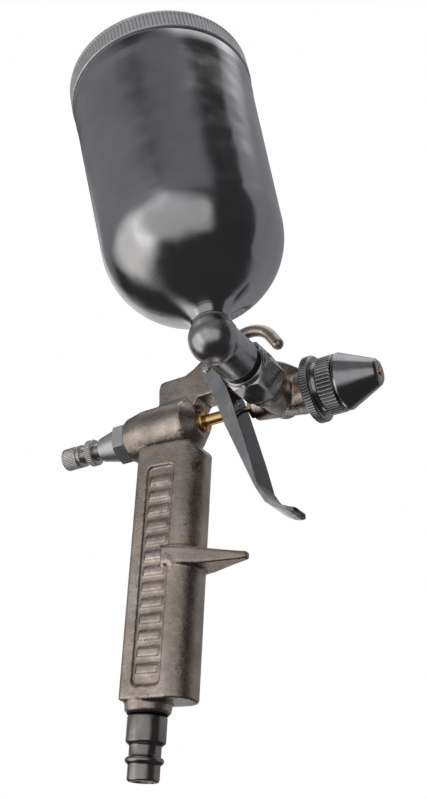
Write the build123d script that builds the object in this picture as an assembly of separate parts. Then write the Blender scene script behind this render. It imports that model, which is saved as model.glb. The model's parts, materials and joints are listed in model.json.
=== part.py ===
"""Gravity-feed airbrush gun: every separate piece as one solid, in one shared frame.

Frame (mm): +X forward along the barrel to the nozzle, +Z up, +Y to the gun's left.
The origin is the open end of the air plug, on the plug's own axis.
Each node is written to parts/NODE.step.
"""
from math import cos, pi, radians, sin

from build123d import *
import os

# --- where the four turning axes lie -----------------------------------------------------
BARREL_Z = 114.5          # height of the barrel axis (needle, valve, nozzle)
CONNECTOR_X = 54.0        # the paint connector leaves the barrel here, toward -Y
HANDLE_RAKE = 4.7         # degrees the handle and the air plug lean forward going up
BALL_OUT = 44.8           # distance of the elbow ball from the barrel axis
CUP_LEAN = 9.8            # degrees the cup is swivelled back at rest

# --- running clearances ------------------------------------------------------------------
FIT = 0.05                # radial clearance of every turning or sliding fit

# --- trigger -----------------------------------------------------------------------------
PIVOT = (28.9, 130.7)     # X and Z of the trigger pivot
CHEEK_OUT = 6.2           # outer face of each trigger cheek, from the middle plane
CHEEK_IN = 5.0            # inner face of each trigger cheek
BRIDGE_HALF = 4.8         # half thickness of the bridge between the cheeks


def turned(profile):
    """A solid of revolution from (height, radius) points, height along local Z."""
    points = [(radius, height) for height, radius in profile]
    face = make_face(Plane.XZ * Polyline(*points, close=True))
    return revolve(face, Axis.Z)


def rod(start, end, radius):
    """A plain cylinder between two heights."""
    return Pos(0, 0, start) * Cylinder(radius, end - start,
                                       align=(Align.CENTER, Align.CENTER, Align.MIN))


def tube(start, end, outer, inner):
    """A plain tube between two heights."""
    return rod(start, end, outer) - rod(start - 1, end + 1, inner)


def hexagon(start, end, across_flats):
    """A hexagonal prism with its corners turned off like a real nut."""
    corner = across_flats / 2 / cos(radians(30))
    prism = Pos(0, 0, start) * extrude(RegularPolygon(corner, 6), end - start)
    edge = (corner - across_flats / 2) * 0.8
    crown = turned([(start, 0), (start, corner - edge), (start + edge * 0.6, corner + 0.01),
                    (end - edge * 0.6, corner + 0.01), (end, corner - edge), (end, 0)])
    return prism & crown


def knurled(start, end, outer, depth, teeth):
    """A straight-knurled disc: a fine star outline with chamfered ends."""
    points = []
    for i in range(teeth * 2):
        radius = outer if i % 2 == 0 else outer - depth
        angle = pi * i / teeth
        points.append((radius * cos(angle), radius * sin(angle)))
    star = Pos(0, 0, start) * extrude(make_face(Polyline(*points, close=True)), end - start)
    bevel = depth * 1.6
    crown = turned([(start, 0), (start, outer - bevel), (start + bevel, outer + 0.01),
                    (end - bevel, outer + 0.01), (end, outer - bevel), (end, 0)])
    return star & crown


def ring_torus(height, middle, wire):
    """An O-ring: mean radius `middle`, section radius `wire`."""
    section = Plane.XZ * Pos(middle, height) * Circle(wire)
    return revolve(section, Axis.Z)


def coil(start, end, middle, wire, turns):
    """A round-wire compression spring between two heights."""
    path = Pos(0, 0, start + wire) * Helix((end - start - 2 * wire) / turns,
                                           end - start - 2 * wire, middle)
    section = Plane(origin=path @ 0, z_dir=path % 0) * Circle(wire)
    return sweep(section, path=path, is_frenet=True)


def slab(points, half):
    """A plate outlined by (X, Z) points, reaching `half` to each side of the middle plane."""
    face = make_face(Plane.XZ * Polyline(*points, close=True))
    return extrude(face, half, both=True)


def on_barrel(shape):
    """Height becomes X along the barrel axis."""
    return Pos(0, 0, BARREL_Z) * Rot(0, 90, 0) * shape


def on_connector(shape):
    """Height becomes the distance from the barrel axis toward -Y."""
    return Pos(CONNECTOR_X, 0, BARREL_Z) * Rot(90, 0, 0) * shape


def on_handle(shape):
    """Height becomes the distance up the raked handle from the plug's open end."""
    return Rot(0, HANDLE_RAKE, 0) * shape


def on_cup(shape):
    """Height becomes the distance from the ball's centre along the cup's axis."""
    return Pos(CONNECTOR_X, -BALL_OUT, BARREL_Z) * Rot(0, -CUP_LEAN, 0) * shape


def on_pivot(shape):
    """Height becomes the distance from the middle plane toward -Y, at the trigger pivot."""
    return Pos(PIVOT[0], 0, PIVOT[1]) * Rot(90, 0, 0) * shape


# =========================================================================================
# gun body: handle, spur, rear barrel, bridge, head, paint boss and hanging hook, one casting
# =========================================================================================
HANDLE_HALF = 8.0         # half thickness of the handle
HANDLE_REAR = -6.9        # rear face, from the plug axis
HANDLE_CREASE = 10.6      # where the flat side turns into the rounded front
HANDLE_FRONT = 17.0
HANDLE_BOTTOM = 23.0
HANDLE_TOP = 107.0
SPUR_ROOT, SPUR_TIP = 6.0, 33.4
PANEL = (-1.8, 8.6, 27.0, 99.0)   # recessed panel: rear, front, bottom, top
PANEL_DEPTH = 0.9
RIB_COUNT = 13


def handle_grip():
    """The handle, its recessed side panels with plain grip ribs, and the finger spur."""
    sides = Polyline((HANDLE_CREASE, -HANDLE_HALF), (HANDLE_REAR, -HANDLE_HALF),
                     (HANDLE_REAR, HANDLE_HALF), (HANDLE_CREASE, HANDLE_HALF))
    nose = ThreePointArc((HANDLE_CREASE, HANDLE_HALF), (HANDLE_FRONT, 0),
                         (HANDLE_CREASE, -HANDLE_HALF))
    section = make_face([sides, nose])
    section = fillet(section.vertices().sort_by(Axis.X)[0:2], 2.2)
    grip = Pos(0, 0, HANDLE_BOTTOM) * extrude(section, HANDLE_TOP - HANDLE_BOTTOM)
    grip = fillet(grip.faces().sort_by(Axis.Z)[0].edges(), 0.9)
    grip -= slab([(13.4, HANDLE_TOP + 1), (13.4, HANDLE_TOP), (HANDLE_FRONT, 103.2),
                  (20, 103.2), (20, HANDLE_TOP + 1)], 12)

    rear, front, bottom, top = PANEL
    pocket = Pos((rear + front) / 2, 0, (bottom + top) / 2) * Box(front - rear, 2, top - bottom)
    pocket = fillet(pocket.edges().filter_by(Axis.Y), 2.0)
    pitch = (top - bottom) / (RIB_COUNT + 1)
    rib_y = HANDLE_HALF - PANEL_DEPTH + 0.3
    for side in (-1, 1):
        grip -= Pos(0, side * (HANDLE_HALF - PANEL_DEPTH + 1), 0) * pocket
        for i in range(RIB_COUNT):
            height = bottom + pitch * (i + 1)
            grip += Pos((rear + front) / 2, side * (rib_y - 0.5), height) * Box(7.6, 1.6, 2.4)

    edge = [(SPUR_ROOT, 8.3), (10.6, 8.5), (17, 6.4), (24, 3.9), (SPUR_TIP, 1.3)]
    left, right = Spline(*edge), Spline(*[(x, -y) for x, y in edge])
    plan = make_face([left, right, Line(left @ 0, right @ 0), Line(left @ 1, right @ 1)])
    spur = Pos(0, 0, 60) * extrude(plan, 15)
    spur &= slab([(SPUR_ROOT, 64.6), (SPUR_ROOT, 70.6), (14, 70.2), (SPUR_TIP, 68.0),
                  (SPUR_TIP, 65.6), (18, 64.2)], 12)
    spur = fillet(spur.edges().filter_by(lambda e: e.center().X > 12), 0.8)
    collar = turned([(19.9, 0), (19.9, 6.7), (20.6, 7.3), (22.2, 7.5), (24.5, 7.5), (24.5, 0)])
    return on_handle(grip + spur + collar)


def hanging_hook():
    """A round bar curving forward from the top of the body."""
    path = FilletPolyline((31.0, 0, 137.0), (37.2, 0, 142.7), (47.4, 0, 145.4),
                          (53.3, 0, 135.8), radius=9.5)
    bar = sweep(Plane(origin=path @ 0, z_dir=path % 0) * Circle(2.1), path=path)
    return bar + Pos(*(path @ 1)) * Sphere(2.1)


def gun_body():
    barrel = on_barrel(turned([(-4.9, 0), (-4.9, 7.5), (-4.0, 8.1), (2.0, 9.3), (19.3, 9.3),
                               (23.6, 5.2), (23.6, 0)]))
    bridge = slab([(8.7, 116), (8.7, 129.8), (9.2, 131.2), (10.6, 131.8), (19.4, 131.8),
                   (22.6, 133.3), (26.4, 136.0), (30.0, 139.0), (34.0, 141.0), (38.5, 141.0),
                   (41.0, 137.7), (45.0, 132.7), (50.0, 129.0), (57.0, 125.6), (62.5, 121.4),
                   (62.5, 114.5), (45.4, 114.5), (44.2, 119.0), (41.6, 121.7), (24.4, 121.7),
                   (23.2, 119.5), (21.0, 116)], BRIDGE_HALF)
    bridge = fillet(bridge.edges().filter_by(lambda e: e.center().Z > 127
                                             and abs(e.center().Y) > 4), 1.0)
    head = on_barrel(turned([(43.8, 0), (43.8, 4.5), (44.3, 4.9), (64.4, 7.3), (64.4, 0)]))
    spigot = on_barrel(rod(60.0, 70.6, 6.9))
    boss = on_connector(turned([(-6.0, 0), (-6.0, 4.0), (-4.0, 5.6), (2.0, 6.2), (8.0, 6.8),
                                (11.0, 7.4), (13.8, 7.4), (14.4, 6.9),
                                (14.4, 6.0), (22.0, 6.0), (22.0, 0)]))
    body = barrel + bridge + head + spigot + boss + handle_grip() + hanging_hook()

    # air way: plug socket, handle bore, valve chamber, riser, bridge bore, head gallery
    body -= on_handle(rod(19, 31, 5.0) + rod(30, 112, 2.5))
    body -= on_barrel(turned([(-6, 0), (-6, 5.0), (3.0, 5.0), (3.0, 4.6), (16.2, 4.6),
                              (16.2, 3.2), (19.4, 3.2), (19.4, 2.0 + FIT), (21.4, 2.0 + FIT),
                              (21.4, 3.2), (24, 3.2), (24, 0)]))
    body -= Pos(17.9, 0, BARREL_Z) * rod(0, 11.5, 1.5)
    body -= Pos(16.6, 0, 125.8) * Rot(0, 90, 0) * rod(0, 31.4, 1.6)
    body -= Pos(47.5, 0, 125.8) * Rot(0, 118.4, 0) * rod(0, 13.4, 1.5)
    body -= on_barrel(rod(57.6, 71, 6.1) - rod(57, 72, 4.9))

    # paint way: nozzle socket, needle chamber, packing socket, connector bore
    body -= on_barrel(turned([(43, 0), (43, 3.2), (48.6, 3.2), (48.6, 2.4), (60.2, 2.4),
                              (60.2, 4.0), (71, 4.0), (71, 0)]))
    body -= on_connector(rod(0, 23, 2.6))

    # trigger pivot hole
    return body - on_pivot(rod(-6, 6, 1.0))


# =========================================================================================
# air inlet
# =========================================================================================
def air_plug():
    """Quick-connect plug: 12 mm collar between a 10 mm tip and a 10 mm neck."""
    outer = turned([(0, 0), (0, 5.0), (5.0, 5.0), (5.4, 5.7), (5.8, 6.0),
                    (6.5, 6.0), (6.9, 5.7), (7.3, 5.0), (10.4, 5.0), (11.4, 6.25),
                    (19.0, 6.25), (19.6, 5.9), (19.6, 5.0), (30.0, 5.0), (30.0, 0)])
    return on_handle(outer - rod(-1, 20, 3.3) - rod(20, 31, 2.5))


def plug_seal():
    return on_handle(tube(19.6, 19.9, 6.5, 5.0))


# =========================================================================================
# trigger
# =========================================================================================
TRIGGER_REAR = [(26.6, 132.4), (27.3, 128.6), (31.2, 120.2), (35.3, 107.8), (40.8, 94.4),
                (45.2, 83.6)]
TRIGGER_FRONT = [(46.1, 84.6), (43.9, 94.2), (42.1, 101.0), (38.4, 115.0),
                 (36.6, 121.0), (34.2, 126.4), (31.7, 131.8), (30.2, 133.6), (28.2, 133.9)]
WEB_TOP = 121.3           # the front web stops here, the cheeks carry on to the pivot
WEB_THICK = 1.3


def trigger():
    """A folded channel: two cheeks on the pivot, a front web, and a curled finger tip."""
    toe = [(48.6, 77.4), (51.0, 75.4), (53.4, 74.0), (55.8, 73.3), (57.6, 73.1), (58.3, 73.5),
           (57.9, 74.3), (56.0, 74.7), (53.8, 75.6), (51.8, 77.0), (49.8, 79.0), (47.8, 81.6)]
    outline = slab(TRIGGER_REAR + toe + TRIGGER_FRONT, CHEEK_OUT)
    hollow_front = [(x - WEB_THICK, z) for x, z in TRIGGER_FRONT]
    hollow_front = [point for point in hollow_front if 80.0 < point[1] < WEB_TOP]
    hollow = slab([(22, 138), (22, 120.2), (33.9, 107.8), (39.4, 94.4), (43.9, 83.4)]
                  + hollow_front + [(35.2, WEB_TOP), (42, WEB_TOP), (42, 138)], CHEEK_IN)
    lever = outline - hollow
    plan = make_face(Polyline((20, -CHEEK_OUT), (47, -CHEEK_OUT), (55.2, -5.2), (57.4, -4.2),
                              (58.3, -2.2), (58.3, 2.2), (57.4, 4.2), (55.2, 5.2),
                              (47, CHEEK_OUT), (20, CHEEK_OUT), close=True))
    lever &= Pos(0, 0, 60) * extrude(plan, 80)
    lever -= on_pivot(rod(-8, 8, 1.0 + FIT))
    lever -= Pos(37, 0, BARREL_Z + 1.5) * Box(14, 2.5, 3.0)
    for height in (BARREL_Z, BARREL_Z + 3.0):
        lever -= Pos(30, 0, height) * Rot(0, 90, 0) * rod(0, 14, 1.25)
    return lever


def trigger_pivot_screw():
    """Slotted shoulder screw, head on the -Y side, thread into the clip nut."""
    screw = turned([(-8.3, 0), (-8.3, 0.8), (-8.0, 1.0), (6.25, 1.0), (6.25, 1.5), (6.7, 1.5),
                    (7.0, 1.1), (7.1, 0)])
    return on_pivot(screw - Pos(0, 0, 6.95) * Box(5, 0.4, 0.5))


def pivot_nut():
    return on_pivot(hexagon(-7.9, -6.25, 4.0) - rod(-9, -6, 1.0))


# =========================================================================================
# needle and its adjuster
# =========================================================================================
def needle():
    return on_barrel(turned([(-25.5, 0), (-25.5, 0.6), (-25.1, 1.0), (79.0, 1.0),
                             (87.4, 0.42), (88.9, 0.12), (88.9, 0)]))


def needle_chuck():
    """Clamps on the needle and carries the spring's push."""
    grip = tube(-4.4, -0.8, 2.8, 1.0) + tube(-5.6, -4.4, 1.6, 1.0)
    return on_barrel(grip - Pos(0, 0, -1.5) * Box(0.5, 7, 1.6))


def needle_spring():
    return on_barrel(coil(-12.0, -4.4, 2.25, 0.3, 5))


def spring_housing():
    """Hexagon and tapered sleeve screwed in the back of the body."""
    sleeve = turned([(-17.8, 0), (-17.8, 4.0), (-17.4, 4.35), (-9.6, 6.2), (-9.6, 0)])
    spigot = rod(-5.2, 3.0, 5.0)
    shell = sleeve + hexagon(-9.6, -4.9, 13.4) + spigot
    shell -= rod(-18, -11.0, 3.0 + FIT)
    shell -= rod(-11.0, 0.6, 3.9)
    shell -= rod(0, 4, 1.9 + FIT)
    shell -= rod(1.2, 2.4, 2.9)
    return on_barrel(shell)


def tail_seal():
    return on_barrel(ring_torus(1.8, 2.44, 0.46))


def lock_ring():
    return on_barrel(knurled(-23.4, -20.7, 4.8, 0.28, 30) - rod(-24, -20, 3.0 + FIT))


def adjusting_knob():
    """Knurled knob with a hollow threaded shank that stops the needle."""
    head = knurled(-34.0, -26.2, 4.05, 0.22, 30)
    shank = rod(-26.3, -12.0, 3.0)
    return on_barrel(head + shank - rod(-31, -11, 1.0 + 2 * FIT))


# =========================================================================================
# air valve
# =========================================================================================
STEM_FRONT = 36.8         # front end of the brass stem, against the trigger web


def air_valve_stem():
    """Hollow brass stem with the valve flange; the needle runs through it."""
    stem = turned([(0.0, 0), (0.0, 1.9), (10.9, 1.9), (11.4, 3.9), (13.2, 3.9), (13.2, 2.0),
                   (STEM_FRONT - 0.4, 2.0), (STEM_FRONT, 1.7), (STEM_FRONT, 0)])
    return on_barrel(stem - rod(-3, 40, 1.0 + FIT))


def valve_seal():
    return on_barrel(tube(13.2, 14.2, 3.8, 2.0))


def valve_seat():
    return on_barrel(turned([(14.2, 3.4), (14.2, 2.9), (14.7, 2.9), (16.2, 2.9), (16.2, 4.6),
                             (14.7, 4.6), (14.7, 3.8)]))


def air_valve_spring():
    return on_barrel(coil(3.0, 11.1, 3.2, 0.35, 5))


def stem_packing():
    return on_barrel(tube(21.4, 22.9, 3.2, 2.0 + FIT))


def stem_gland_nut():
    nut = tube(22.9, 23.6, 3.2, 2.0 + FIT) + tube(23.6, 24.8, 3.8, 2.0 + FIT)
    return on_barrel(nut - Pos(0, 0, 24.6) * Box(8, 0.8, 0.8))


# =========================================================================================
# head: packing, nozzle, rings and air cap
# =========================================================================================
def needle_packing():
    return on_barrel(tube(46.4, 48.6, 3.2, 1.0 + FIT))


def packing_nut():
    nut = hexagon(42.4, 43.8, 7.0) + rod(43.7, 46.4, 3.2)
    return on_barrel(nut - rod(42, 47, 1.0 + FIT))


NOZZLE_BORE = [(59, 0), (59, 2.0), (79.0, 2.0), (86.8, 0.75), (88.0, 0.5), (90, 0.5), (90, 0)]


def fluid_nozzle():
    """Long tapered nozzle screwed in the head; the needle closes its orifice."""
    outer = turned([(60.2, 0), (60.2, 4.0), (70.6, 4.0), (70.6, 5.2), (72.6, 5.2), (73.4, 4.0),
                    (80.0, 3.0), (87.2, 1.25), (88.7, 1.1), (88.7, 0)])
    flats = Pos(0, 0, 60) * extrude(RegularPolygon(5.2, 6), 31)
    return on_barrel((outer & flats) - turned(NOZZLE_BORE))


def air_control_ring():
    """The wide knurled ring behind the cap ring."""
    ring = knurled(64.6, 68.0, 11.1, 0.35, 60)
    ring += rod(67.6, 69.2, 8.6)
    return on_barrel(ring - rod(64, 70, 6.9 + FIT))


def cap_seal():
    return on_barrel(tube(69.2 + FIT, 69.5, 8.3, 6.9))


def cap_ring():
    """Knurled retaining ring that pulls the air cap against the head."""
    ring = knurled(69.6, 75.0, 9.55, 0.3, 44) - rod(69, 76, 6.9 + FIT)
    ring -= rod(70.7, 72.0, 8.3 + FIT)
    return on_barrel(ring - rod(71.9, 75.1, 7.8 + FIT))


def air_cap():
    """Cone-shaped cap with one round air outlet around the nozzle tip."""
    outer = turned([(70.8, 0), (70.8, 8.3), (71.9, 8.3), (71.9, 7.8), (75.1, 7.8), (75.1, 8.9),
                    (75.6, 9.5), (76.2, 9.5),
                    (86.6, 4.9), (87.6, 4.4), (88.3, 3.5), (88.3, 0)])
    inner = turned([(70, 0), (70, 6.6), (76.4, 6.6), (86.2, 3.0), (86.8, 1.5), (90, 1.5),
                    (90, 0)])
    return on_barrel(outer - inner)


# =========================================================================================
# paint connector
# =========================================================================================
BALL_R = 7.7
STUB_R = 7.1
STUB_END = 30.2           # outer end of the elbow's stub, from the barrel axis
SEAT = 6.0                # height of the flat on the ball that the cup is screwed down on
SEAL_TOP = 6.3            # height where the cup's spout begins


def cup_elbow():
    """Ball-ended elbow: stub and flange to the gun, neck and thread to the cup."""
    stub = turned([(22.6, 0), (22.6, 5.5), (26.1, 5.5), (26.1, 4.6), (STUB_END, 4.6),
                   (STUB_END, 6.6), (STUB_END + 0.6, STUB_R), (BALL_OUT, STUB_R),
                   (BALL_OUT, 0)])
    neck = turned([(0, 0), (0, 5.3), (SEAT, 5.3), (SEAT, 4.0), (15.6, 4.0), (15.6, 0)])
    ball = Pos(CONNECTOR_X, -BALL_OUT, BARREL_Z) * Sphere(BALL_R)
    flat = on_cup(rod(SEAT, SEAT + 3, 8.0))
    elbow = ball + on_connector(stub) - flat + on_cup(neck)
    return elbow - on_connector(rod(22, BALL_OUT, 2.5)) - on_cup(rod(0, 17, 2.5))


def union_nut():
    """Hexagon nut holding the elbow's flange on the gun."""
    nut = hexagon(14.8, 26.2, 15.0) + turned([(26.0, 0), (26.0, 7.5), (27.5, 7.5), (27.9, 7.1),
                                              (27.9, 0)])
    return on_connector(nut - rod(14, 26.15, 6.0 + FIT) - rod(26, 28, 4.6 + FIT))


def union_ring():
    """Black rubber ring in the groove between the nut and the elbow."""
    return on_connector(tube(27.95, STUB_END, 6.1, 4.6))


def elbow_seal():
    return on_connector(tube(22.0, 22.6, 5.5, 2.6))


# =========================================================================================
# cup and lid
# =========================================================================================
BOWL_HEIGHT = 39.0        # where the round bottom turns into the wall
BOWL_RADIUS = 28.9
RIM_RADIUS = 30.7
LID_LOW, LID_TOP = 103.6, 111.8
LID_RADIUS = 31.6
CUP_WALL = 1.0


def bowl_curve(radius, depth, steps=9):
    """Points of the cup's rounded bottom, from near its middle up to the wall."""
    points = []
    for i in range(1, steps + 1):
        angle = radians(90 * i / steps)
        points.append((BOWL_HEIGHT - depth * cos(angle), radius * sin(angle)))
    return points


def cup_shell():
    spout = [(SEAL_TOP, 0), (SEAL_TOP, 5.6), (7.6, 6.2), (9.2, 7.5), (11.2, 9.7), (13.2, 12.4),
             (14.9, 15.2), (16.6, 17.6)]
    outer = spout + bowl_curve(BOWL_RADIUS, 27.4)[4:] + [
        (95.6, RIM_RADIUS), (103.0, RIM_RADIUS + 0.3), (103.0, 30.2), (110.0, 30.2),
        (110.0, 0)]
    inner = [(16.6, 0), (16.6, 6.4)] + bowl_curve(BOWL_RADIUS - CUP_WALL, 25.0)[2:] + [
        (95.6, RIM_RADIUS - CUP_WALL - 0.2), (103.0, 29.2), (111.0, 29.2), (111.0, 0)]
    return on_cup(turned(outer) - turned(inner) - rod(6, 17, 4.0))


def cup_seal():
    return on_cup(tube(SEAT, SEAL_TOP, 5.3, 4.0))


def cup_lid():
    """Screw lid with a low dome and a central vent."""
    outer = turned([(LID_LOW, 0), (LID_LOW, 31.2), (LID_LOW + 0.5, LID_RADIUS),
                    (LID_TOP - 0.9, LID_RADIUS), (LID_TOP, 30.8), (LID_TOP + 0.5, 28.0),
                    (LID_TOP + 1.9, 14.0), (LID_TOP + 2.2, 0)])
    inner = turned([(LID_LOW - 1, 0), (LID_LOW - 1, 30.2 + FIT), (110.8, 30.2 + FIT),
                    (110.8, 28.2), (LID_TOP + 0.7, 13.8), (LID_TOP + 1.0, 0)])
    return on_cup(outer - inner - rod(100, 120, 2.0))


def lid_gasket():
    return on_cup(tube(110.0 + FIT, 110.8, 30.2, 28.3))


def vent_button():
    """Nylon drip stopper pushed in the middle of the lid."""
    button = turned([(110.4, 0), (110.4, 2.0), (114.1, 2.0), (114.1, 3.4), (115.0, 3.4),
                     (115.6, 2.6), (115.6, 0)])
    return on_cup(button - rod(110, 116, 0.6))


PARTS = {
    "gun_body": gun_body,
    "air_plug": air_plug,
    "plug_seal": plug_seal,
    "trigger": trigger,
    "trigger_pivot_screw": trigger_pivot_screw,
    "pivot_nut": pivot_nut,
    "needle": needle,
    "needle_chuck": needle_chuck,
    "needle_spring": needle_spring,
    "spring_housing": spring_housing,
    "tail_seal": tail_seal,
    "lock_ring": lock_ring,
    "adjusting_knob": adjusting_knob,
    "air_valve_stem": air_valve_stem,
    "valve_seal": valve_seal,
    "valve_seat": valve_seat,
    "air_valve_spring": air_valve_spring,
    "stem_packing": stem_packing,
    "stem_gland_nut": stem_gland_nut,
    "needle_packing": needle_packing,
    "packing_nut": packing_nut,
    "fluid_nozzle": fluid_nozzle,
    "air_control_ring": air_control_ring,
    "cap_seal": cap_seal,
    "cap_ring": cap_ring,
    "air_cap": air_cap,
    "cup_elbow": cup_elbow,
    "union_nut": union_nut,
    "union_ring": union_ring,
    "elbow_seal": elbow_seal,
    "cup_shell": cup_shell,
    "cup_seal": cup_seal,
    "cup_lid": cup_lid,
    "lid_gasket": lid_gasket,
    "vent_button": vent_button,
}

os.makedirs("parts", exist_ok=True)
for name, make in PARTS.items():
    shape = make()
    solids = shape.solids()
    print(f"{name:22s} solids {len(solids)}  volume {shape.volume:10.1f}")
    export_step(solids[0] if len(solids) == 1 else shape, f"parts/{name}.step")
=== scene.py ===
"""Looks of the gravity-feed airbrush gun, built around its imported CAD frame.

Profiles are written in millimetres as (height, radius) on the same axes as the CAD (barrel,
handle, cup) and become metres when a mesh is made.
"""
import json
import math

import bpy
import numpy as np
from mathutils import Matrix, Vector


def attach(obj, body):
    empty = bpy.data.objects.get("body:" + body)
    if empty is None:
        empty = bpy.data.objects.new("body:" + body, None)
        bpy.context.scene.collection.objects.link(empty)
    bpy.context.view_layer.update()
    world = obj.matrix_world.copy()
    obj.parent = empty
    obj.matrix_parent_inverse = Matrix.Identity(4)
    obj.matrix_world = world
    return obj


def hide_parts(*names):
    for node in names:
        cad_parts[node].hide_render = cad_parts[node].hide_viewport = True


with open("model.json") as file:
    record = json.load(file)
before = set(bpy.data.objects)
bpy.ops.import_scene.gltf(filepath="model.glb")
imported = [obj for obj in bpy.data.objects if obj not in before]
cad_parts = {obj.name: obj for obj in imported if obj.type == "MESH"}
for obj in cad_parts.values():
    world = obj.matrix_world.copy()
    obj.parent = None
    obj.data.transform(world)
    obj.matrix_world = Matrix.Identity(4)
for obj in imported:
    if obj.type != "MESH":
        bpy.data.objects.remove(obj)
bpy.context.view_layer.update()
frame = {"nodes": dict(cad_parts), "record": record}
RECORD = frame["record"]

MM = 0.001
BARREL_Z = 114.5
CONNECTOR_X = 54.0          # the paint connector's place along the barrel
BALL_OUT = 44.8             # from the barrel's axis out to the ball elbow's centre
HANDLE_RAKE = 4.7
CUP_LEAN = 9.8


def place(x, y, z, axis, degrees):
    """Matrix that stands a lathe's height axis along one of the gun's axes."""
    return (Matrix.Translation(Vector((x, y, z)) * MM)
            @ Matrix.Rotation(math.radians(degrees), 4, axis))


BARREL = place(0, 0, BARREL_Z, "Y", 90)
HANDLE = place(0, 0, 0, "Y", HANDLE_RAKE)
CUP = place(CONNECTOR_X, -BALL_OUT, BARREL_Z, "Y", -CUP_LEAN)


# =========================================================================================
# mesh helpers
# =========================================================================================
GROOVE_STEP = 0.25          # between points along a groove, in mm
GROOVE_RUN_OUT = 1.2        # a groove fades out at its ends over this many of its depths
OUTSIDE_SKIN = 0.6          # grooves cut only what lies this close to the widest radius, in mm


def rounded(points, radius, steps=3):
    """The same closed outline with each corner replaced by a short curve."""
    pts = [Vector(p) for p in points]
    out = []
    for i, p in enumerate(pts):
        before, after = pts[i - 1] - p, pts[(i + 1) % len(pts)] - p
        reach = min(radius, before.length * 0.45, after.length * 0.45)
        start, end = p + before.normalized() * reach, p + after.normalized() * reach
        for k in range(steps + 1):
            t = k / steps
            out.append(start * (1 - t) ** 2 + p * 2 * t * (1 - t) + end * t ** 2)
    return [tuple(p) for p in out]


def lathe(name, outline, axis, around, corner, waves=()):
    """A turned piece from a closed outline. Each wave (low, high, count, depth, sharpness)
    cuts straight grooves into the outward-facing surface between two heights."""
    outline = rounded(outline, corner)
    for low, high, _count, _depth, _sharpness in waves:
        outline = split_between(outline, low, high)
    heights = np.array([p[0] for p in outline])
    radii = np.array([p[1] for p in outline])
    angles = np.linspace(0, 2 * math.pi, around, endpoint=False)
    r = np.repeat(radii[:, None], around, 1)
    for low, high, count, depth, sharpness in waves:
        edge = np.clip(np.minimum(heights - low, high - heights) / (depth * GROOVE_RUN_OUT), 0, 1)
        crest = radii[(heights >= low) & (heights <= high)].max()
        edge = np.where(radii > crest - OUTSIDE_SKIN, edge, 0)
        groove = np.abs((angles * count / math.tau) % 1.0 - 0.5) * 2
        r -= depth * edge[:, None] * groove[None, :] ** sharpness
    r = np.maximum(r, 0)
    verts = np.stack([r * np.cos(angles), r * np.sin(angles),
                      np.repeat(heights[:, None], around, 1)], 2).reshape(-1, 3) * MM
    rows = len(outline)
    faces = []
    for i in range(rows):
        a, b = i * around, ((i + 1) % rows) * around
        for j in range(around):
            k = (j + 1) % around
            faces.append((a + j, a + k, b + k, b + j))
    mesh = bpy.data.meshes.new(name)
    mesh.from_pydata(verts.tolist(), [], faces)
    mesh.transform(axis)
    mesh.validate()
    mesh.shade_smooth()
    return outward(mesh)


def split_between(outline, low, high):
    """Adds points along the outline's long edges between two heights."""
    out = []
    for i, (h, r) in enumerate(outline):
        out.append((h, r))
        h2, r2 = outline[(i + 1) % len(outline)]
        if min(h, h2) < high and max(h, h2) > low and abs(h2 - h) > 2 * GROOVE_STEP:
            steps = int(abs(h2 - h) / GROOVE_STEP)
            out += [(h + (h2 - h) * k / steps, r + (r2 - r) * k / steps)
                    for k in range(1, steps)]
    return out


def outward(mesh):
    """Turns the faces so that the mesh's volume is positive."""
    points = np.empty(len(mesh.vertices) * 3)
    mesh.vertices.foreach_get("co", points)
    points = points.reshape(-1, 3)
    mesh.calc_loop_triangles()
    tris = np.empty(len(mesh.loop_triangles) * 3, int)
    mesh.loop_triangles.foreach_get("vertices", tris)
    a, b, c = (points[tris.reshape(-1, 3)[:, k]] for k in range(3))
    if np.einsum("ij,ij->i", a, np.cross(b, c)).sum() < 0:
        mesh.flip_normals()
    return mesh


NODE_BODY = {n: body for body, nodes in RECORD["behaviour"]["bodies"].items() for n in nodes}
NODE_SLOT = {part["node"]: part["material_slot"] for part in RECORD["subparts"]}


def stand_in(mesh, node, angle):
    """Shows a finer mesh in place of a CAD node, on that node's body and material slot.

    Edges sharper than the angle stay sharp, and an angle of 0 leaves every edge smooth."""
    piece = bpy.data.objects.new(node + "_fine", mesh)
    bpy.context.collection.objects.link(piece)
    mesh.materials.append(finish_of(node))
    if angle:
        mesh.set_sharp_from_angle(angle=math.radians(angle))
    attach(piece, NODE_BODY[node])
    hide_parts(node)
    return piece


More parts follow.
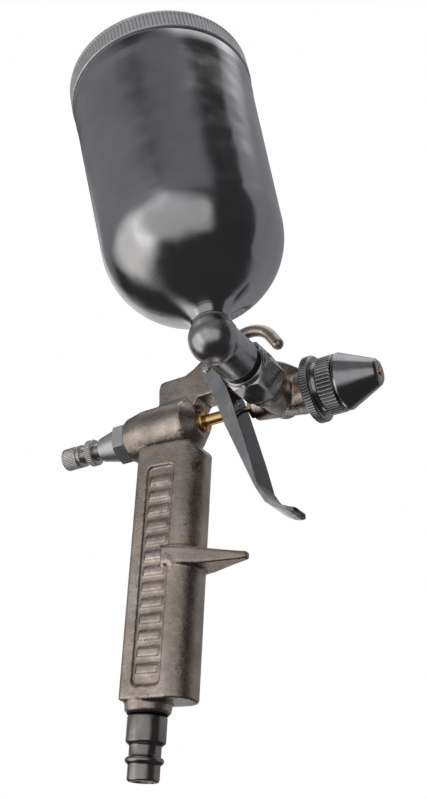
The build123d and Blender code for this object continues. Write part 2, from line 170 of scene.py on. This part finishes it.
# =========================================================================================
# materials
# =========================================================================================
class Nodes:
    """Short names for building a node tree."""

    def __init__(self, tree):
        self.tree = tree
        tree.nodes.clear()

    def add(self, kind, **settings):
        node = self.tree.nodes.new(kind)
        for key, value in settings.items():
            setattr(node, key, value)
        return node

    def link(self, source, target):
        self.tree.links.new(source, target)

    def put(self, target, value):
        """Links a socket, or sets a plain value."""
        if isinstance(value, bpy.types.NodeSocket):
            self.link(value, target)
        elif value is not None:
            target.default_value = value

    def math(self, operation, a, b=None, clamp=False):
        node = self.add("ShaderNodeMath", operation=operation, use_clamp=clamp)
        self.put(node.inputs[0], a)
        self.put(node.inputs[1], b)
        return node.outputs[0]

    def noise(self, vector, scale, detail, rough=0.55):
        node = self.add("ShaderNodeTexNoise")
        self.put(node.inputs["Vector"], vector)
        node.inputs["Scale"].default_value = scale
        node.inputs["Detail"].default_value = detail
        node.inputs["Roughness"].default_value = rough
        return node.outputs["Fac"]

    def stretched(self, vector, scale, rotation):
        node = self.add("ShaderNodeMapping")
        self.put(node.inputs["Vector"], vector)
        node.inputs["Scale"].default_value = scale
        node.inputs["Rotation"].default_value = rotation
        return node.outputs["Vector"]

    def spread(self, value, low, high, to_low, to_high):
        """Eases a value from one range to another."""
        node = self.add("ShaderNodeMapRange", interpolation_type="SMOOTHSTEP")
        self.put(node.inputs["Value"], value)
        for key, number in (("From Min", low), ("From Max", high), ("To Min", to_low),
                            ("To Max", to_high)):
            node.inputs[key].default_value = number
        return node.outputs["Result"]

    def mix(self, factor, a, b):
        node = self.add("ShaderNodeMix", data_type="RGBA")
        self.put(node.inputs["Factor"], factor)
        self.put(node.inputs["A"], a)
        self.put(node.inputs["B"], b)
        return node.outputs["Result"]

    def bump(self, height, strength, distance, normal):
        node = self.add("ShaderNodeBump")
        node.inputs["Strength"].default_value = strength
        node.inputs["Distance"].default_value = distance
        self.put(node.inputs["Height"], height)
        self.put(node.inputs["Normal"], normal)
        return node.outputs["Normal"]


# Near-black colour for painted shade in grooves and inside corners, partly standing for dirt.
CREASE_SHADE_AND_SOOT = (0.02, 0.018, 0.016, 1)
# Near-black colour for painted shade on faces that look forward.
FRONT_SHADE_COLOUR = (0.03, 0.03, 0.03, 1)


def brighter(colour, by):
    return tuple(min(1, c * by) for c in colour) + (1,)


def metal(name, colour, roughness, tint, smudge, grain=None, scratches=0.0, stains=None,
          crease_shade_and_grime=0.0, edge_wear_and_highlight=0.0, front_shade=0.0, dents=0.0, edge=0.00025, metallic=1.0):
    """A metal with cloudy tone and gloss, and optional grain, scratches, stains, painted shade
    and painted highlights.

    tint is how far the tone swings; smudge is (scale, change of roughness); grain is (scale,
    bump strength, bump distance, change of roughness); stains is (scale, threshold, colour);
    crease_shade_and_grime paints shade, partly dirt, into grooves and inside corners, and
    edge_wear_and_highlight paints a highlight, partly worn plating, on outside corners;
    front_shade paints shade on the faces that look forward; dents is the depth of slow waves
    in the surface; edge is the radius that corners are shaded round to."""
    material = bpy.data.materials.new(name)
    material.use_nodes = True
    n = Nodes(material.node_tree)
    out = n.add("ShaderNodeOutputMaterial")
    shader = n.add("ShaderNodeBsdfPrincipled")
    n.link(shader.outputs[0], out.inputs["Surface"])
    where = n.add("ShaderNodeTexCoord").outputs["Object"]
    shader.inputs["Metallic"].default_value = metallic

    cloud = n.noise(where, smudge[0], 4)
    tone = n.mix(n.spread(cloud, 0.3, 0.7, 0, 1), brighter(colour, 1 - tint),
                 brighter(colour, 1 + tint))
    if stains:
        scale, threshold, stain_colour = stains
        spots = n.spread(n.noise(where, scale, 6, 0.7), threshold, threshold + 0.12, 0, 1)
        tone = n.mix(spots, tone, stain_colour + (1,))
    # Painted shade: grooves and inside corners (low pointiness) are darkened toward near black,
    # partly as dirt.
    if crease_shade_and_grime:
        hollow = n.spread(n.add("ShaderNodeNewGeometry").outputs["Pointiness"],
                          0.42, 0.495, crease_shade_and_grime, 0)
        tone = n.mix(hollow, tone, CREASE_SHADE_AND_SOOT)
    # Painted highlight: outside corners (high pointiness) are lightened, partly as worn plating.
    if edge_wear_and_highlight:
        corner = n.spread(n.add("ShaderNodeNewGeometry").outputs["Pointiness"],
                          0.515, 0.58, 0, edge_wear_and_highlight)
        tone = n.mix(corner, tone, brighter(colour, 1.7))
    # Painted shade: faces whose normal points forward (+X) are darkened toward near black.
    if front_shade:
        facing = n.add("ShaderNodeSeparateXYZ")
        n.link(n.add("ShaderNodeNewGeometry").outputs["Normal"], facing.inputs[0])
        front_shade_amount = n.math("ADD", facing.outputs["X"], n.spread(cloud, 0.3, 0.7, -0.12, 0.12))
        tone = n.mix(n.spread(front_shade_amount, 0.55, 0.8, 0, front_shade), tone, FRONT_SHADE_COLOUR)
    gloss = n.spread(n.noise(where, smudge[0] * 2.3, 5, 0.6), 0.3, 0.7,
                     roughness - smudge[1] / 2, roughness + smudge[1])
    normal = None
    if edge:
        bevel = n.add("ShaderNodeBevel", samples=6)
        bevel.inputs["Radius"].default_value = edge
        normal = bevel.outputs["Normal"]
    if dents:
        normal = n.bump(n.noise(where, 42, 2), 1.0, dents, normal)
    if scratches:
        lines = n.noise(n.stretched(where, (1, 1, 0.02), (0.5, 0.9, 0.2)), 1500, 2)
        gloss = n.math("ADD", gloss, n.spread(lines, 0.5, 0.8, 0, scratches), True)
    if grain:
        scale, strength, distance, change = grain
        pits = n.noise(where, scale, 3, 0.7)
        lumps = n.noise(where, scale / 7, 2)
        gloss = n.math("ADD", gloss, n.spread(pits, 0.3, 0.7, -change, change), True)
        tone = n.mix(n.spread(pits, 0.42, 0.66, 0, 0.35), tone, brighter(colour, 1.5))
        height = n.math("ADD", pits, n.math("MULTIPLY", lumps, 1.5))
        normal = n.bump(height, strength, distance, normal)
    n.put(shader.inputs["Base Color"], tone)
    n.put(shader.inputs["Roughness"], gloss)
    n.put(shader.inputs["Normal"], normal)
    return material


def polymer(name, colour, roughness):
    """Rubber or nylon: dull, with a fine moulded grain."""
    return metal(name, colour, roughness, tint=0.10, smudge=(120, 0.12),
                 grain=(3000, 0.15, 0.00005, 0.05), metallic=0.0)


MATERIALS = {
    "cast_nickel": metal("cast_nickel", (0.52, 0.45, 0.395), 0.25, 0.26, (90, 0.13),
                         grain=(3000, 0.8, 0.00009, 0.10), crease_shade_and_grime=0.97, edge_wear_and_highlight=0.5,
                         stains=(140, 0.58, (0.12, 0.095, 0.075))),
    "dark_steel": metal("dark_steel", (0.36, 0.34, 0.32), 0.24, 0.15, (150, 0.10),
                        scratches=0.1, crease_shade_and_grime=0.7),
    "chrome": metal("chrome", (0.62, 0.62, 0.62), 0.12, 0.06, (120, 0.06), edge=0.0003),
    "dark_aluminium": metal("dark_aluminium", (0.50, 0.50, 0.51), 0.16, 0.08, (55, 0.06),
                            scratches=0.06, crease_shade_and_grime=0.6, dents=0.0007,
                            stains=(60, 0.68, (0.20, 0.20, 0.20))),
    "black_nickel": metal("black_nickel", (0.42, 0.42, 0.43), 0.19, 0.10, (200, 0.06),
                          scratches=0.06, crease_shade_and_grime=0.95),
    "light_aluminium": metal("light_aluminium", (0.66, 0.65, 0.64), 0.30, 0.08, (200, 0.08),
                             scratches=0.12, crease_shade_and_grime=0.9),
    "steel": metal("steel", (0.60, 0.59, 0.58), 0.22, 0.08, (200, 0.08), scratches=0.08),
    "spring_steel": metal("spring_steel", (0.42, 0.42, 0.42), 0.3, 0.08, (300, 0.08)),
    "brass": metal("brass", (0.80, 0.55, 0.22), 0.24, 0.14, (200, 0.10), scratches=0.10),
    "black_rubber": polymer("black_rubber", (0.018, 0.018, 0.018), 0.55),
    "white_polymer": polymer("white_polymer", (0.78, 0.77, 0.73), 0.45),
    "satin_aluminium": metal("satin_aluminium", (0.50, 0.50, 0.505), 0.24, 0.16, (160, 0.10),
                             scratches=0.10, crease_shade_and_grime=0.5, stains=(150, 0.60, (0.26, 0.26, 0.26))),
    "matt_aluminium": metal("matt_aluminium", (0.74, 0.74, 0.75), 0.42, 0.05, (200, 0.06),
                            scratches=0.08),
    "bright_aluminium": metal("bright_aluminium", (0.93, 0.93, 0.94), 0.50, 0.06, (150, 0.08),
                              scratches=0.10, crease_shade_and_grime=0.85),
    # Trigger chrome: real scratches and tone, plus painted shade on the faces that look forward.
    "worn_chrome_front_shaded": metal("worn_chrome_front_shaded", (0.58, 0.58, 0.58), 0.17, 0.14, (180, 0.10),
                         scratches=0.10, front_shade=0.94, edge=0.0003),
}
# nodes whose finish is a variant of their slot's
VARIANTS = {"cup_elbow": "satin_aluminium", "spring_housing": "matt_aluminium",
            "cup_lid": "bright_aluminium", "trigger": "worn_chrome_front_shaded"}


def finish_of(node):
    return MATERIALS[VARIANTS.get(node, NODE_SLOT[node])]


# =========================================================================================
# finer shapes for the CAD nodes
# =========================================================================================
def softened(node, voxel, passes):
    """A CAD node's own shape with soft inside corners and worn edges."""
    source = frame["nodes"][node]
    soft = bpy.data.objects.new("soft", source.data.copy())
    bpy.context.collection.objects.link(soft)
    remesh = soft.modifiers.new("remesh", "REMESH")
    remesh.mode = "VOXEL"
    remesh.voxel_size = voxel * 1
    smooth = soft.modifiers.new("smooth", "SMOOTH")
    smooth.factor = 0.5
    smooth.iterations = passes
    bpy.context.view_layer.update()
    graph = bpy.context.evaluated_depsgraph_get()
    mesh = bpy.data.meshes.new_from_object(soft.evaluated_get(graph))
    bpy.data.objects.remove(soft)
    mesh.materials.clear()
    mesh.shade_smooth()
    return mesh


def cast_body():
    """The casting, its corners rounded by the mould and by use."""
    return softened("gun_body", 0.00036, 3)


def cup_elbow():
    """Ball, stub and neck with their edges polished round."""
    return softened("cup_elbow", 0.00022, 3)


def funnel(low, high, low_slope, high_slope, steps=14):
    """A smooth flare between two (height, radius) points, leaving each at a given slope."""
    span = high[0] - low[0]
    points = []
    for i in range(steps):
        t = i / steps
        radius = (low[1] * (2 * t ** 3 - 3 * t ** 2 + 1) + high[1] * (3 * t ** 2 - 2 * t ** 3)
                  + span * (low_slope * (t ** 3 - 2 * t ** 2 + t)
                            + high_slope * (t ** 3 - t ** 2)))
        points.append((low[0] + span * t, radius))
    return points


def cup_shell():
    """Round-bottomed cup with a rolled rim."""
    bowl = [(39.0 - 27.4 * math.cos(a), 28.9 * math.sin(a))
            for a in np.radians(np.linspace(42, 90, 26))]
    inside = [(39.0 - 25.0 * math.cos(a), 27.9 * math.sin(a))
              for a in np.radians(np.linspace(14, 90, 34))]
    spout = [(6.3, 4.0), (6.3, 5.6)] + funnel((7.6, 6.2), bowl[0], 0.55, 1.17)
    outer = spout + bowl + [
        (92.0, 30.6), (95.0, 30.75), (98.0, 31.0), (102.8, 31.05), (103.0, 30.2), (110.0, 30.2)]
    inner = [(110.0, 29.2), (103.0, 29.2), (95.6, 29.5)] + inside[::-1] + [(16.4, 4.0)]
    return lathe("cup_shell", outer + inner, CUP, 320, 0.25)


def cup_lid():
    """Screw lid: finely serrated band, rolled top edge, low dome."""
    outer = [(103.6, 30.3), (103.6, 31.1), (104.0, 31.5), (110.6, 31.5), (111.4, 31.3),
             (112.1, 30.6), (112.3, 28.0), (113.7, 14.0), (114.0, 2.05)]
    inner = [(112.9, 2.05), (112.5, 13.8), (110.8, 28.2), (110.8, 30.3)]
    waves = [(104.1, 110.5, 150, 0.40, 1.2)]
    return lathe("cup_lid", outer + inner, CUP, 1200, 0.2, waves=waves)


def air_plug():
    """Stepped quick-connect plug."""
    outline = [(0, 3.3), (0, 4.5), (0.5, 5.0), (4.9, 5.0), (5.3, 5.6), (5.8, 6.0), (6.5, 6.0),
               (6.9, 5.7), (7.3, 5.0), (10.4, 5.0), (11.4, 6.25), (18.9, 6.25), (19.5, 5.7),
               (19.6, 5.0), (30, 5.0), (30, 2.5), (20, 2.5), (20, 3.3)]
    return lathe("air_plug", outline, HANDLE, 160, 0.3)


def lock_ring():
    outline = [(-23.4, 3.06), (-23.4, 4.5), (-23.1, 4.8), (-21.0, 4.8), (-20.7, 4.5),
               (-20.7, 3.06)]
    return lathe("lock_ring", outline, BARREL, 360, 0.08,
                 waves=[(-23.3, -20.8, 36, 0.22, 3.0)])


def adjusting_knob():
    """Fine-fluted knob with a groove behind its front collar, on its threaded shank."""
    outline = [(-34.0, 1.1), (-34.0, 3.5), (-33.5, 4.05), (-28.0, 4.05), (-27.7, 3.6),
               (-27.3, 3.6), (-27.0, 4.05), (-26.3, 4.05), (-26.2, 3.0)]
    pitch = 0.5
    thread = []
    for turn in range(26):
        height = -26.0 + turn * pitch
        thread += [(height, 3.0), (height + pitch / 2, 2.78)]
    outline += thread + [(-12.6, 2.9), (-12.0, 2.6), (-12.0, 1.1)]
    return lathe("adjusting_knob", outline, BARREL, 360, 0.06,
                 waves=[(-33.4, -28.1, 40, 0.18, 3.0), (-27.0, -26.3, 40, 0.18, 3.0)])


def air_control_ring():
    """Wide knurled ring with a smooth groove in front of it."""
    outline = [(64.6, 6.96), (64.6, 10.3), (65.2, 11.1), (67.4, 11.1), (68.0, 10.3),
               (68.0, 8.6), (69.2, 8.6), (69.2, 6.96)]
    return lathe("air_control_ring", outline, BARREL, 720, 0.12,
                 waves=[(64.9, 67.7, 72, 0.34, 1.5)])


def cap_ring():
    """Cap ring: a deep straight knurl over its full width."""
    outline = [(69.6, 6.96), (69.6, 9.1), (69.9, 9.55), (74.6, 9.55), (75.0, 9.1), (75.0, 7.86),
               (72.0, 7.86), (72.0, 8.36), (70.72, 8.36), (70.72, 6.96)]
    return lathe("cap_ring", outline, BARREL, 528, 0.1,
                 waves=[(69.7, 74.9, 44, 0.40, 2.0)])


def air_cap():
    """Polished cone with a plain shoulder and a crisp front step."""
    outline = [(70.8, 6.6), (70.8, 8.3), (71.9, 8.3), (71.9, 7.8), (75.1, 7.8), (75.1, 8.9),
               (75.6, 9.4), (76.4, 9.5), (86.6, 4.9), (87.6, 4.4), (88.3, 3.5), (88.3, 1.5),
               (86.8, 1.5), (86.2, 3.0), (76.4, 6.6)]
    return lathe("air_cap", outline, BARREL, 240, 0.16)


SMOOTH_SHAPES = (cast_body, cup_elbow)
SHARP_ANGLE = 40
FINE = {"gun_body": cast_body, "cup_shell": cup_shell, "cup_lid": cup_lid,
        "cup_elbow": cup_elbow, "air_plug": air_plug, "lock_ring": lock_ring,
        "adjusting_knob": adjusting_knob, "air_control_ring": air_control_ring,
        "cap_ring": cap_ring, "air_cap": air_cap}
for node, make in FINE.items():
    stand_in(make(), node, 0 if make in SMOOTH_SHAPES else SHARP_ANGLE)

for node, piece in frame["nodes"].items():
    for material_slot in piece.material_slots:
        material_slot.link = "OBJECT"
        material_slot.material = finish_of(node)


# =========================================================================================
# studio: camera, floor and soft light panels
# =========================================================================================
EYE = Vector((0.18745, -0.28025, -0.04885))
RIGHT = Vector((0.8625, 0.5055, -0.0236))
UP = Vector((0.2546, -0.3932, 0.8835))
BACK = Vector((0.4373, -0.7681, -0.4678))

lens = bpy.data.cameras.new("camera")
lens.lens = 48.14
lens.sensor_width = 36
lens.clip_start = 0.01
camera = bpy.data.objects.new("camera", lens)
camera.matrix_world = (Matrix.Translation(EYE)
                       @ Matrix((RIGHT, UP, BACK)).transposed().to_4x4())
bpy.context.collection.objects.link(camera)
bpy.context.scene.camera = camera
bpy.context.scene.view_settings.view_transform = "Standard"

FLOOR_Z = -0.16
FLOOR_REACH = 4
floor_mesh = bpy.data.meshes.new("floor")
floor_mesh.from_pydata([(x * FLOOR_REACH, y * FLOOR_REACH, FLOOR_Z)
                        for x, y in ((-1, -1), (1, -1), (1, 1), (-1, 1))], [], [(0, 1, 2, 3)])
floor = bpy.data.objects.new("floor", floor_mesh)
bpy.context.collection.objects.link(floor)
floor.visible_glossy = False
floor.visible_diffuse = False
pale = bpy.data.materials.new("floor")
pale.use_nodes = True
paint = pale.node_tree.nodes["Principled BSDF"]
paint.inputs["Base Color"].default_value = (0.9, 0.9, 0.9, 1)
paint.inputs["Roughness"].default_value = 0.9
floor_mesh.materials.append(pale)


def panel(n, direction, centre, width, height, colour, strength, soft, tilt):
    """Light from a rectangular soft panel, by the direction a ray leaves in."""
    middle = Vector(centre).normalized()
    side = middle.cross(Vector((0, 0, 1))).normalized()
    up = side.cross(middle)
    spin = Matrix.Rotation(math.radians(tilt), 3, middle)
    side, up = spin @ side, spin @ up

    def along(vector):
        dot = n.add("ShaderNodeVectorMath", operation="DOT_PRODUCT")
        n.link(direction, dot.inputs[0])
        dot.inputs[1].default_value = vector
        return dot.outputs["Value"]

    depth = n.math("MAXIMUM", along(middle), 0.001)
    across = n.math("ABSOLUTE", n.math("DIVIDE", along(side), depth))
    above = n.math("ABSOLUTE", n.math("DIVIDE", along(up), depth))
    inside = n.math("MULTIPLY", n.spread(across, width - soft, width + soft, 1, 0),
                    n.spread(above, height - soft, height + soft, 1, 0))
    return n.mix(inside, (0, 0, 0, 1), tuple(c * strength for c in colour) + (1,))


WARM, NEUTRAL, LILAC = (1.0, 0.97, 0.94), (1.0, 1.0, 1.0), (0.94, 0.95, 1.0)
PANELS = [
    # centre, half width, half height (as tangents), colour, strength, edge softness, tilt
    ((0.10, -0.98, -0.14), 1.10, 0.50, NEUTRAL, 0.56, 0.22, 0),
    ((-0.80, -0.55, -0.27), 0.50, 0.52, WARM, 0.95, 0.24, 10),
    ((-0.80, -0.35, 0.50), 2.20, 0.40, LILAC, 0.22, 0.25, 0),
    ((0.25, -0.74, 0.61), 0.56, 0.32, LILAC, 0.17, 0.18, 25),
    ((0.40, 0.86, 0.35), 1.00, 0.90, LILAC, 0.25, 0.05, 0),
    ((-0.64, 0.70, 0.20), 0.35, 0.40, NEUTRAL, 0.60, 0.15, 0),
    ((-0.38, 0.62, -0.68), 0.22, 0.22, WARM, 0.90, 0.10, 0),
    ((0.0, 0.1, 1.0), 0.50, 0.50, NEUTRAL, 0.90, 0.15, 0),
]
AMBIENT = (0.040, 0.040, 0.042, 1)
BACKDROP = (1.0, 1.0, 1.0, 1)
WOBBLE = 0.08               # how far noise bends the panels' edges either way

world = bpy.data.worlds.new("studio")
world.use_nodes = True
bpy.context.scene.world = world
n = Nodes(world.node_tree)
direction = n.add("ShaderNodeTexCoord").outputs["Generated"]
wobble = n.add("ShaderNodeTexNoise")
n.link(direction, wobble.inputs["Vector"])
wobble.inputs["Scale"].default_value = 2.2
wobble.inputs["Detail"].default_value = 3.0
shift = n.add("ShaderNodeVectorMath", operation="MULTIPLY_ADD")
n.link(wobble.outputs["Color"], shift.inputs[0])
shift.inputs[1].default_value = (2 * WOBBLE,) * 3
shift.inputs[2].default_value = (-WOBBLE,) * 3
uneven = n.add("ShaderNodeVectorMath", operation="ADD")
n.link(direction, uneven.inputs[0])
n.link(shift.outputs[0], uneven.inputs[1])
light = AMBIENT
for settings in PANELS:
    total = n.add("ShaderNodeMix", data_type="RGBA", blend_type="ADD")
    total.inputs["Factor"].default_value = 1.0
    n.put(total.inputs["A"], light)
    n.put(total.inputs["B"], panel(n, uneven.outputs[0], *settings))
    light = total.outputs["Result"]
seen = n.add("ShaderNodeLightPath").outputs["Is Camera Ray"]
background = n.add("ShaderNodeBackground")
n.put(background.inputs["Color"], n.mix(seen, light, BACKDROP))
n.link(background.outputs[0], n.add("ShaderNodeOutputWorld").inputs["Surface"])
